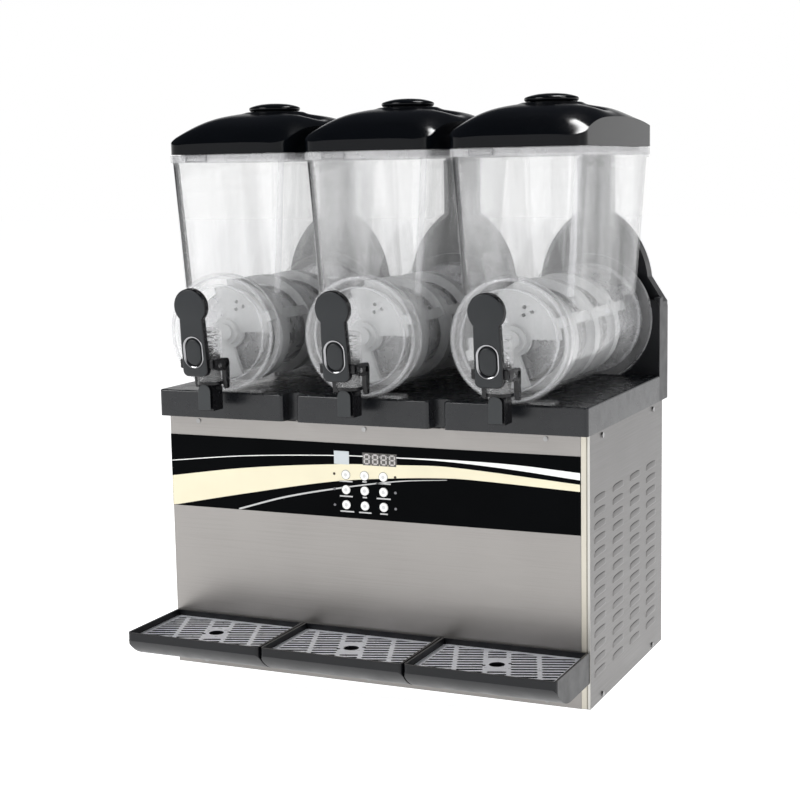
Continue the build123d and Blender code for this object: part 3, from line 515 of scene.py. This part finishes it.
LID_BASE = RIM + 0.3
LID_FRONT, LID_REAR = FRONT, FRONT + 312
LID_DEPTH = LID_REAR - LID_FRONT
LID_HALF = 89.0
LID_WALL = 2.4
CORNER = 20.0
CAP_BACK = 145
CAP_Y = FRONT + CAP_BACK
# heights over the rim, against the distance from the front edge
SIDE_EDGE = ((0, 12.5), (14, 17), (30, 24), (68, 32.5), (119, 36.5), (176, 37.5), (245, 34.5),
             (296, 28), (312, 24))
CROWN = ((0, 14), (14, 25), (34, 37), (64, 47.5), (100, 54.5), (125, 56.8), (145, 57.3),
         (170, 56.6), (230, 48), (285, 33), (312, 24.5))
CROWN_POWER = 4.2
HOLLOW_X, HOLLOW_WIDE, HOLLOW_LONG, HOLLOW_DEEP = 58, 21, 34, 9.0
SEAT_RADIUS, SEAT_BLEND, SEAT_HEIGHT = 47, 9, 57.4


def lid_half_width(y):
    """Half the lid's width at a distance y from its front edge, with rounded corners in plan."""
    reach = min(y, LID_DEPTH - y)
    if reach >= CORNER:
        return LID_HALF
    return LID_HALF - CORNER + sqrt(max(0.0, CORNER**2 - (CORNER - reach)**2))


def lid_height(u, y, x):
    """Height of the lid's roof over the rim; u runs from -1 to 1 across it."""
    side = curve_through(SIDE_EDGE, y)
    crown = curve_through(CROWN, y)
    height = side + (crown - side) * (1 - abs(u)**CROWN_POWER)
    # finger hollows on both sides of the filler cap, and a raised seat under it
    for hollow_x in (-HOLLOW_X, HOLLOW_X):
        away = ((x - hollow_x) / HOLLOW_WIDE)**2 + ((y - CAP_BACK) / HOLLOW_LONG)**2
        height -= HOLLOW_DEEP * exp(-away * 1.4)
    seat = sqrt(x**2 + (y - CAP_BACK)**2)
    if seat < SEAT_RADIUS:
        blend = min(1.0, (SEAT_RADIUS - seat) / SEAT_BLEND)
        height += (SEAT_HEIGHT - height) * (3 * blend**2 - 2 * blend**3)
    return height


def lid_plan(inset):
    """Rounded outline of the lid, drawn in by inset, in x and y."""
    half, low, high, radius = LID_HALF - inset, LID_FRONT + inset, LID_REAR - 3 - inset, 14
    points = []
    for cx, cy, start in ((half - radius, high - radius, 0), (-half + radius, high - radius, 90),
                          (-half + radius, low + radius, 180), (half - radius, low + radius, 270)):
        points += arc((cx, cy), radius, start, start + 90, 6)
    return points


def lid(side):
    """Hollow domed lid with its filler hole, and the locating rib inside it."""
    x0, body = AXIS_X[side], "lid_" + side
    stops = [0, 0.6, 2.2, 4.8, 8.4, 13, 18]
    rows = (stops + [20 + (LID_DEPTH - 40) * k / 64 for k in range(65)]
            + [LID_DEPTH - s for s in reversed(stops)])
    across = 56
    wide, last = across + 1, len(rows) - 1
    points = []
    for y in rows:
        half = lid_half_width(y)
        for k in range(wide):
            # closer together towards the sides, where the roof turns down
            u = -1 + 2 * k / across
            u = sin(u * pi / 2) * 0.35 + u * 0.65
            x = u * half
            points.append((x0 + x, LID_FRONT + y, LID_BASE + lid_height(u, y, x)))
    faces = grid_faces(len(rows), wide)
    # walls straight down to the rim, in two steps
    edge = (list(range(wide)) + [r * wide + across for r in range(1, len(rows))]
            + [last * wide + k for k in range(across - 1, -1, -1)]
            + [r * wide for r in range(last - 1, 0, -1)])
    start, count = len(points), len(edge)
    for z in (LID_BASE + 2.2, LID_BASE):
        points += [(points[i][0], points[i][1], z) for i in edge]
    for k in range(count):
        n = (k + 1) % count
        faces.append((edge[k], edge[n], start + n, start + k))
        faces.append((start + k, start + n, start + count + n, start + count + k))
    shell = piece("lid_shell_" + side, points, faces, GLOSS_BLACK, body, "gloss_black", (body,))
    thick = shell.modifiers.new("wall", "SOLIDIFY")
    thick.thickness = LID_WALL * MM
    thick.offset = -1.0
    thick.use_even_offset = True
    settle(shell)
    carve(shell, lathe("hole", ((27, -30), (27, 20)), (x0, CAP_Y, LID_BASE + 50), "z", GLOSS_BLACK, body))
    bevel(shell, 1.3, 3, 38)
    outer = [(x * 81.5 / 89, y) for x, y in lid_plan(7)]
    inner = [(x * 79 / 89, y) for x, y in lid_plan(9.5)]
    collar("lid_rib_" + side, outer, inner, plan_spot(x0), LID_BASE + 8, LID_BASE - 6,
           BLACK_SATIN, body, "gloss_black")


def filler_cap(side):
    """Turned knob with its plug, which goes down into the lid's hole."""
    name = "filler_cap_" + side
    low = node_box(name)[0].z + 12
    profile = ((23.6, -12), (26.1, -12), (26.1, 0.0), (32.6, 0.1), (34.4, 0.8), (35.3, 2.2), (35.5, 3.6),
               (35.2, 4.8), (34.2, 5.8), (31.0, 7.0), (26.0, 8.5), (19.0, 9.9), (10.0, 10.7), (0.6, 11.0))
    lathe("filler_knob_" + side, profile, (AXIS_X[side], CAP_Y, low), "z", GLOSS_BLACK, name,
          "gloss_black", (name,), around=96, crisp=50)


# ---- ribs, edges and rims of the clear bowls ----

BOWL_SLOT = "clear_polycarbonate"
RIB_LOW, RIB_TOP = AXIS_Z + 52, RIM - 1.0
RIB_RADIUS, RIB_STEPS, RIB_AROUND = 4.2, 8, 16
# number, radius, y and thickness of the rolled edges round the barrel
BOWL_EDGES = ((1, 74.6, FRONT - 19.5, 2.2), (2, 63.0, FRONT - 21.0, 1.5),
              (3, 75.4, FRONT + 2.0, 1.3), (4, 75.0, FRONT + 290.0, 2.2))


def bowl_trim(side):
    """What shows as lines in the clear bowl: corner ribs, rolled edges, rim band and clip, with painted shade
    on the left ribs and painted highlight on the right ribs and rolled edges.
    """
    x0, body = AXIS_X[side], "bowl_" + side
    turns = [2 * pi * k / RIB_AROUND for k in range(RIB_AROUND)]
    # left rib in painted shade, right rib in painted highlight
    for word, sign, material in (("l", -1, RIB_PAINTED_SHADE), ("r", 1, RIB_PAINTED_HIGHLIGHT)):
        rings = []
        for step in range(RIB_STEPS + 1):
            z = RIB_LOW + (RIB_TOP - RIB_LOW) * step / RIB_STEPS
            share = (z - AXIS_Z) / 235
            cx, cy = 63.7 + 17.0 * share, FRONT + 15.2 - 4.2 * share
            rings.append([(x0 + sign * (cx + RIB_RADIUS * cos(turn)), cy + RIB_RADIUS * sin(turn), z)
                          for turn in turns])
        skin("bowl_rib_%s_%s" % (word, side), rings, material, body, BOWL_SLOT, crisp=50)
    # rolled edges in painted highlight
    for number, radius, y, thick in BOWL_EDGES:
        hoop("bowl_edge_%d_%s" % (number, side), radius, thick, (x0, y, AXIS_Z), "y", RIB_PAINTED_HIGHLIGHT, body,
             BOWL_SLOT, around=96)
    collar("bowl_rim_" + side, lid_plan(0.6), lid_plan(3.4), plan_spot(x0), RIM - 10.5, RIM - 1.0,
           RIM_HAZE, body, BOWL_SLOT)
    collar("bowl_clip_" + side, rectangle(-58, -10, -26, -1.5), rectangle(-56.2, -8.4, -27.8, -3.1),
           front_spot(x0, FRONT, RIM), -0.4, 1.2, CLIP_GREY, body, BOWL_SLOT)


# ---- tap levers, spouts, pistons and springs ----

TAP_Y = FRONT - 52
PIVOT_Y = TAP_Y - 16
PIVOT_Z = AXIS_Z - 37
LEVER_Y = PIVOT_Y - 12
LEAN = radians(6)
LEVER_THICK = 11
WELL, WELL_FLOOR = (0, 20), 8.0
SPOUT_LOW = AXIS_Z - 98


def lever_spot(x0):
    """Lever plane: u to the right, v up the lever, w out of its front."""
    return lambda u, v, w: (x0 + u, LEVER_Y - v * sin(LEAN) - w * cos(LEAN),
                            PIVOT_Z + v * cos(LEAN) - w * sin(LEAN))


def well_rings(spot, taller, steps):
    """Ovals round the middle of the lever's well, for steps of (width, height over the lever's back)."""
    return [[spot(u, v, w) for u, v in oval(wide, wide + taller, WELL)] for wide, w in steps]


def lever(side):
    """Lever with its round head, the oval well with its ring and insert, and the fork behind it."""
    x0 = AXIS_X[side]
    body, slot = "tap_lever_" + side, "lever_black"
    spot = lever_spot(x0)
    outline = (arc((0, 79.3), 23.4, -44, 224, 40)
               + [(-17.3, 60), (-17.2, 56), (-17.9, 30), (-18.2, 10)]
               + arc((-10.5, -4.5), 8, 180, 262, 8) + arc((10.5, -4.5), 8, -82, 0, 8)
               + [(18.2, 10), (17.9, 30), (17.2, 56), (17.3, 60)])
    plate = slab("lever_plate_" + side, outline, spot, LEVER_THICK, LEVER_GREY, body, slot, (body,))
    well = slab("well", oval(30, 43, WELL), lambda u, v, w: spot(u, v, WELL_FLOOR + w), 6, LEVER_BLACK, body)
    bevel(plate, 2.6, 5, 50)
    settle(plate, 30)
    carve(plate, well)
    shade(plate, 32)
    # the sides and the well are glossier than the face, and painted darker as painted shade, picked by which
    # way each face points
    plate.data.materials.append(LEVER_BLACK)
    facing = Vector((0, -cos(LEAN), -sin(LEAN)))
    for face in plate.data.polygons:
        if face.normal.dot(facing) < 0.75:
            face.material_index = 1
    ring = well_rings(spot, 13, ((29.8, WELL_FLOOR), (29.8, 10.6), (28.8, 11.4), (26.4, 11.2),
                                 (23.6, 9.6), (22.4, 8.6), (22.4, WELL_FLOOR)))
    skin("lever_ring_" + side, ring + [ring[0]], RING_CHROME, body, slot, cap=False, crisp=60)
    dome = well_rings(spot, 11.5, ((22.0, WELL_FLOOR), (22.0, 9.6), (21.0, 10.6), (18.6, 11.0),
                                   (13.0, 11.2), (6.0, 11.3), (0.5, 11.3)))
    skin("lever_insert_" + side, dome, LEVER_GREY, body, slot, crisp=60)
    # fork arms that hold the tap tube's pins and lift the piston's cross pin
    fork = [
        (LEVER_Y - 4, PIVOT_Z - 3), (PIVOT_Y - 1, PIVOT_Z - 7), (TAP_Y - 1.5, PIVOT_Z - 8),
        (TAP_Y - 0.5, PIVOT_Z - 20), (TAP_Y + 1.5, PIVOT_Z - 31), (TAP_Y + 4.5, PIVOT_Z - 32.5),
        (TAP_Y + 8, PIVOT_Z - 31), (TAP_Y + 9, PIVOT_Z - 14), (TAP_Y + 9.5, PIVOT_Z + 2),
        (TAP_Y + 7.5, PIVOT_Z + 6.5), (TAP_Y + 4, PIVOT_Z + 8), (PIVOT_Y, PIVOT_Z + 9),
        (LEVER_Y - 4, PIVOT_Z + 9),
    ]
    pin_slot = [(TAP_Y + 1 + u, PIVOT_Z + v) for v, u in oval(7.4, 11.5)]
    for word, arm_x in (("l", x0 - 24), ("r", x0 + 18.3)):
        arm = slab("lever_arm_%s_%s" % (word, side), fork, side_spot(arm_x), 5.7, LEVER_BLACK, body, slot)
        carve(arm, slab("slot", pin_slot, side_spot(arm_x - 1), 8, LEVER_BLACK, body))
        carve(arm, lathe("pin", ((3.1, -1), (3.1, 7)), (arm_x, PIVOT_Y, PIVOT_Z), "x", LEVER_BLACK, body))
        bevel(arm, 1.1)
    web = [(LEVER_Y - 6.5, PIVOT_Z - 2.5), (LEVER_Y + 0.5, PIVOT_Z - 3), (LEVER_Y + 0.5, PIVOT_Z + 9),
           (LEVER_Y - 6.5, PIVOT_Z + 9)]
    for word, web_x in (("l", x0 - 24), ("r", x0 + 14)):
        bevel(slab("lever_web_%s_%s" % (word, side), web, side_spot(web_x), 10, LEVER_BLACK, body, slot), 1.2)


def spout(side):
    """Face plate on the front of the spout block, painted lighter than its black sides as painted light on
    the face that looks to the front.
    """
    front = node_box("spout_" + side)[0].y
    face = arc((0, 26.0), 9.0, 0, 180, 24) + [(-9, 1.6), (9, 1.6)]
    plate = slab("spout_face_" + side, face, front_spot(AXIS_X[side], front + 0.2, SPOUT_LOW), 1.0,
                 SPOUT_PAINTED_LIGHT, "bowl_" + side, "lever_black")
    bevel(plate, 0.5, 2)


def piston(side):
    """Rubber rings in the piston's grooves."""
    low = node_box("tap_piston_" + side)[0].z
    for number, groove in ((1, 4.25), (2, 17.25)):
        hoop("piston_ring_%d_%s" % (number, side), 12.55, 1.1, (AXIS_X[side], TAP_Y, low + groove), "z",
             GASKET, "tap_piston_" + side, "lever_black", around=48)


def spring(side):
    """Coil spring over the piston, riding on it at one length; the real one shortens as the piston rises."""
    low, high = node_box("tap_spring_" + side)
    wire, turns, per_turn, round_wire, lift = 0.9, 5, 32, 10, 8.6
    x0, reach, tall = AXIS_X[side], (high.x - low.x) / 2 - wire, high.z - low.z - 2 * wire
    up = Vector((0, 0, 1))
    rings = []
    for k in range(turns * per_turn + 1):
        share = k / (turns * per_turn)
        # the end turns lie flat, as on a ground spring
        rise = min(1.0, max(0.0, (share - 0.12) / 0.76))
        angle = 2 * pi * turns * share
        out = Vector((cos(angle), sin(angle), 0.0))
        centre = Vector((x0, TAP_Y, low.z + wire + tall * rise)) + out * reach
        rings.append([centre + (out * cos(2 * pi * j / round_wire) + up * sin(2 * pi * j / round_wire)) * wire
                      for j in range(round_wire)])
    coil = skin("spring_coil_" + side, rings, SHAFT, "tap_piston_" + side, "screw_steel",
                ("tap_spring_" + side,), crisp=60)
    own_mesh(coil)


# ---- control strip ----

OVERLAY_FACE = OVERLAY_LOW.y
PRINT_BACK, PRINT_THICK = OVERLAY_FACE + 0.05, 0.1
PRINT_START, PRINT_END = OVERLAY_LOW.x + 0.5, OVERLAY_HIGH.x - 0.5
BUTTON_X = (-33.5, -6.5, 20.5)
BUTTON_Z = (287.5, 267.5, 247.5)
# middle, half-height and pitch of the display's window and figures
WINDOW_X, WINDOW_Z = -39.3, OVERLAY_HIGH.z - 19
DIGIT_X, DIGIT_PITCH = -2.6, 12.1
# middle of each of a figure's seven bars, and whether it lies across
DIGIT_BARS = ((0, 6, True), (0, 0, True), (0, -6, True),
              (-3.4, 3, False), (3.4, 3, False), (-3.4, -3, False), (3.4, -3, False))
BAR_HALF, BAR_TIP = 2.8, 1.0
# x, z and width of the dashes that stand for the buttons' labels
DASHES = ((-33.5, 278.8, 19), (-6.5, 279.6, 6), (20.5, 278.8, 21), (-33.5, 258.8, 19), (-6.5, 258.8, 6),
          (20.5, 258.8, 20), (-37.5, 238.6, 10), (-27.5, 238.6, 10), (-6.5, 238.6, 18), (20.5, 238.6, 11))


def ribbon(name, upper, lower, start, end, material):
    """Printed strip between two curves of z over x, clipped to the overlay's lower edge."""
    steps = 90
    tops, lows = [], []
    for k in range(steps + 1):
        x = start + (end - start) * k / steps
        top = curve_through(upper, x)
        low = max(curve_through(lower, x), OVERLAY_LOW.z + 0.3)
        tops.append((x, top))
        lows.append((x, min(low, top - 0.05)))
    outline = tops + lows[::-1]
    n = len(outline)
    points = [(x, PRINT_BACK - w, z) for w in (0, PRINT_THICK) for x, z in outline]
    faces = []
    for a in range(steps):
        b, c, d = a + 1, n - 2 - a, n - 1 - a
        faces.append((a, b, c, d))
        faces.append((a + n, d + n, c + n, b + n))
    for k in range(n):
        m = (k + 1) % n
        faces.append((k, m, m + n, k + n))
    strip = piece(name, points, faces, material, "cabinet", "overlay_black")
    # the buttons go through the print
    for x in BUTTON_X:
        for z in BUTTON_Z:
            if start < x < end and curve_through(lower, x) - 8 < z < curve_through(upper, x) + 8:
                hole = lathe("hole", ((6.5, -4), (6.5, 4)), (x, OVERLAY_FACE, z), "y", material, "cabinet")
                carve(strip, hole)


def print_lines():
    """The cream band, the white line over it and the thin silver line under it."""
    ribbon("print_cream",
           ((-300, 271), (-184, 288), (-51, 300.5), (40, 304.5), (114, 306), (288, 294)),
           ((-300, 229.5), (-184, 253), (-51, 277.5), (40, 287), (114, 291.3), (164, 290.5), (288, 285)),
           PRINT_START, PRINT_END, PRINT_CREAM)
    ribbon("print_white_line",
           ((-300, 292.6), (-184, 305), (-51, 312.8), (40, 314.6), (114, 315.4), (200, 314), (288, 308.5)),
           ((-300, 291.5), (-184, 303.9), (-51, 311.7), (40, 313.3), (114, 312.7), (200, 307.5),
            (288, 299.5)),
           PRINT_START, PRINT_END, PRINT_WHITE)
    ribbon("print_silver_line",
           ((-196, 232), (-127, 252.4), (-51, 268.6), (40, 283.6), (114, 289.6)),
           ((-196, 229.6), (-127, 250), (-51, 266.6), (40, 282.2), (114, 289)),
           -196, 110, PRINT_SILVER)


def digit(number, x):
    """One figure of seven pointed bars, all lit, on its own bed."""
    slab("digit_bed_%d" % number, rectangle(-5.7, -8.2, 5.7, 8.2),
         front_spot(x, OVERLAY_FACE + 0.3, WINDOW_Z), 0.5, DIGIT_BED, "cabinet", "display_window")
    bar = [(-BAR_HALF, 0), (-BAR_HALF + BAR_TIP, BAR_TIP), (BAR_HALF - BAR_TIP, BAR_TIP),
           (BAR_HALF, 0), (BAR_HALF - BAR_TIP, -BAR_TIP), (-BAR_HALF + BAR_TIP, -BAR_TIP)]
    spot = front_spot(x, OVERLAY_FACE - 0.18, WINDOW_Z)
    points, faces = [], []
    for cx, cz, lies in DIGIT_BARS:
        base = len(points)
        shape = bar if lies else [(b, a) for a, b in bar]
        points += [spot(cx + a, cz + b, w) for w in (0, 0.25) for a, b in shape]
        faces += [tuple(base + i for i in face) for face in ring_faces(2, len(shape))]
    piece("digit_bars_%d" % number, points, faces, DIGIT_LIT, "cabinet", "display_window")


def control_strip():
    """Print, display, lamps, label dashes and button marks."""
    print_lines()
    window = slab("display_window", rectangle(-11, -8.8, 11, 8.8),
                  front_spot(WINDOW_X, FRONT - 0.5, WINDOW_Z), 0.6, WINDOW_PALE, "cabinet", "display_window")
    bevel(window, 0.3, 2)
    for k in range(4):
        digit(k + 1, DIGIT_X + k * DIGIT_PITCH)
    for row, (z, material) in enumerate(((288, LAMP_DARK), (267.7, LAMP_GREY), (246.5, LAMP_GREY))):
        for word, x in (("l", -50.5), ("r", 37.5)):
            lathe("lamp_%s_%d" % (word, row + 1), ((1.9, 0.1), (1.9, 0.0), (1.5, -0.35), (0.1, -0.5)),
                  (x, OVERLAY_FACE - 0.05, z), "y", material, "cabinet", "overlay_black", around=24)
    for k, (x, z, wide) in enumerate(DASHES):
        slab("label_dash_%d" % (k + 1), rectangle(-wide / 2, -0.9, wide / 2, 0.9),
             front_spot(x, PRINT_BACK, z), PRINT_THICK, PRINT_SILVER, "cabinet", "overlay_black")
    # a raised dot in the middle of each button
    places = [(x, z) for z in BUTTON_Z for x in BUTTON_X]
    for number, (x, z) in enumerate(places, 1):
        button = "button_%d" % number
        lathe("button_mark_%d" % number, ((2.3, 0.12), (2.3, -0.02), (1.8, -0.1), (0.1, -0.1)),
              (x, node_box(button)[0].y, z), "y", BUTTON_MARK, button, "button_white", around=28)


# ---- cabinet: louvres, painted light at the front corner and housing catch ----

PANEL_X = 300.0
LOUVRE_COLUMNS, LOUVRE_ROWS = 4, 14
LOUVRE_Y, LOUVRE_STEP_Y = FRONT + 158, 78
LOUVRE_Z, LOUVRE_STEP_Z = 159, 17.2
LOUVRE_HALF, LOUVRE_OUT = 24.5, 1.5


def louvres():
    """Pressed hoods over the side panels' slots, all of one side in one mesh."""
    along, up = 18, 6
    for word, outward in (("right", 1), ("left", -1)):
        points, faces = [], []
        for column in range(LOUVRE_COLUMNS):
            for row in range(LOUVRE_ROWS):
                cy = LOUVRE_Y + (column - (LOUVRE_COLUMNS - 1) / 2) * LOUVRE_STEP_Y
                cz = LOUVRE_Z + (row - (LOUVRE_ROWS - 1) / 2) * LOUVRE_STEP_Z
                faces += grid_faces(along + 1, up + 1, len(points))
                for i in range(along + 1):
                    s = -1 + 2 * i / along
                    swell = sqrt(max(0.0, 1 - abs(s)**3.0))
                    high, low = cz + 2.0 + 3.8 * swell, cz - 2.6
                    for j in range(up + 1):
                        t = j / up
                        out = LOUVRE_OUT * swell * sin(0.5 * pi * t) + 0.02
                        points.append((outward * (PANEL_X + out), cy + s * LOUVRE_HALF,
                                       high + (low - high) * t))
        hoods = piece("louvre_hoods_" + word, points, faces, STEEL_SIDE_SHADED, "cabinet",
                      "brushed_stainless", crisp=70)
        thick = hoods.modifiers.new("sheet", "SOLIDIFY")
        thick.thickness = 0.5 * MM
        thick.offset = -1.0


def corner_painted_light():
    """Strips of painted reflection, painted shade and painted highlight on the front, beside the right side
    panel's folded edge.
    """
    low, high = node_box("side_panel_right")
    top = high.z - low.z - 1.6
    for name, start, wide, lift, material in (("corner_painted_light", 288.5, 6.6, 0.35, TRIM_PAINTED_REFLECTION),
                                              ("corner_painted_shade", 295.1, 1.6, 0.15, TRIM_PAINTED_SHADE),
                                              ("corner_painted_highlight", 296.7, 3.2, 0.35, TRIM_PAINTED_HIGHLIGHT)):
        strip = slab(name, rectangle(start, 0.6, start + wide, top), front_spot(0, FRONT + 0.05, low.z),
                     lift, material, "cabinet", "brushed_stainless")
        bevel(strip, 0.12, 2)


def housing_catch():
    """Square catch at the right end of the rear housing's top edge."""
    right = node_box("rear_housing")[1].x
    catch = slab("housing_catch", rectangle(FRONT + 306, 484, FRONT + 324, 501.5), side_spot(right - 9),
                 8.9, BLACK_SATIN, "cabinet", "black_plastic")
    bevel(catch, 1.5)


for side in SIDES:
    bowl_trim(side)
    lid(side)
    filler_cap(side)
    lever(side)
    spout(side)
    piston(side)
    spring(side)
control_strip()
louvres()
corner_painted_light()
housing_catch()

# ---- camera, light, floor ----

LENS = 73.84
CAMERA_PLACE = (0.9056, -2.0087, 0.6804)
CAMERA_TURN = (24.351, 7.943, -1.056)


def aim(azimuth, elevation, roll):
    """Rotation of a camera that looks along azimuth and down by elevation, in radians."""
    forward = Vector((-sin(azimuth) * cos(elevation), cos(azimuth) * cos(elevation), -sin(elevation)))
    right = forward.cross(Vector((0, 0, 1))).normalized()
    up = right.cross(forward)
    right, up = cos(roll) * right + sin(roll) * up, -sin(roll) * right + cos(roll) * up
    return Matrix((right, up, -forward)).transposed().to_4x4()


camera = bpy.data.objects.new("camera", bpy.data.cameras.new("camera"))
SCENE.collection.objects.link(camera)
camera.data.lens = LENS
camera.data.sensor_width = 36.0
camera.data.clip_end = 60.0
camera.matrix_world = Matrix.Translation(CAMERA_PLACE) @ aim(*map(radians, CAMERA_TURN))
SCENE.camera = camera

# white up to a little over the horizon and dark above, which keeps the lids and the deck black
world = bpy.data.worlds.new("studio")
world.use_nodes = True
SCENE.world = world
tree = world.node_tree
back = tree.nodes["Background"]
coords = tree.nodes.new("ShaderNodeTexCoord")
split = tree.nodes.new("ShaderNodeSeparateXYZ")
ramp = tree.nodes.new("ShaderNodeValToRGB")
for element, (position, color) in zip(ramp.color_ramp.elements, (
        (0.10, (1.0, 1.0, 1.0, 1.0)), (0.34, (0.03, 0.033, 0.04, 1.0)))):
    element.position = position
    element.color = color
tree.links.new(coords.outputs["Generated"], split.inputs["Vector"])
tree.links.new(split.outputs["Z"], ramp.inputs["Fac"])
tree.links.new(ramp.outputs["Color"], back.inputs["Color"])
back.inputs["Strength"].default_value = 1.0


def softbox(name, place, target, size, power):
    """Rectangular area light that points from place to target."""
    light = bpy.data.lights.new(name, "AREA")
    light.shape = "RECTANGLE"
    light.size, light.size_y = size
    light.energy = power
    made = bpy.data.objects.new(name, light)
    made.location = place
    made.rotation_euler = (Vector(target) - Vector(place)).to_track_quat("-Z", "Y").to_euler()
    SCENE.collection.objects.link(made)


softbox("key", (-1.9, -2.6, 2.4), (0, 0, 0.35), (1.8, 1.2), 85)
softbox("fill", (2.8, -0.8, 1.7), (0, 0, 0.35), (1.2, 1.6), 30)
softbox("top", (0.3, 1.2, 2.9), (0, 0, 0.4), (0.9, 0.5), 30)

floor_mesh = bpy.data.meshes.new("floor")
floor_mesh.from_pydata([(-20, -20, 0), (20, -20, 0), (20, 20, 0), (-20, 20, 0)], [], [(0, 1, 2, 3)])
floor = bpy.data.objects.new("floor", floor_mesh)
SCENE.collection.objects.link(floor)
paper = moulded("floor_paper", (0.86, 0.86, 0.86), 0.9, 0.0, 60.0, 0.0001, 0.01)
shader = paper.node_tree.nodes["Principled BSDF"]
shader.inputs["Emission Color"].default_value = (1.0, 1.0, 1.0, 1.0)
shader.inputs["Emission Strength"].default_value = 0.93
floor.data.materials.append(paper)

SCENE.view_settings.view_transform = "Standard"
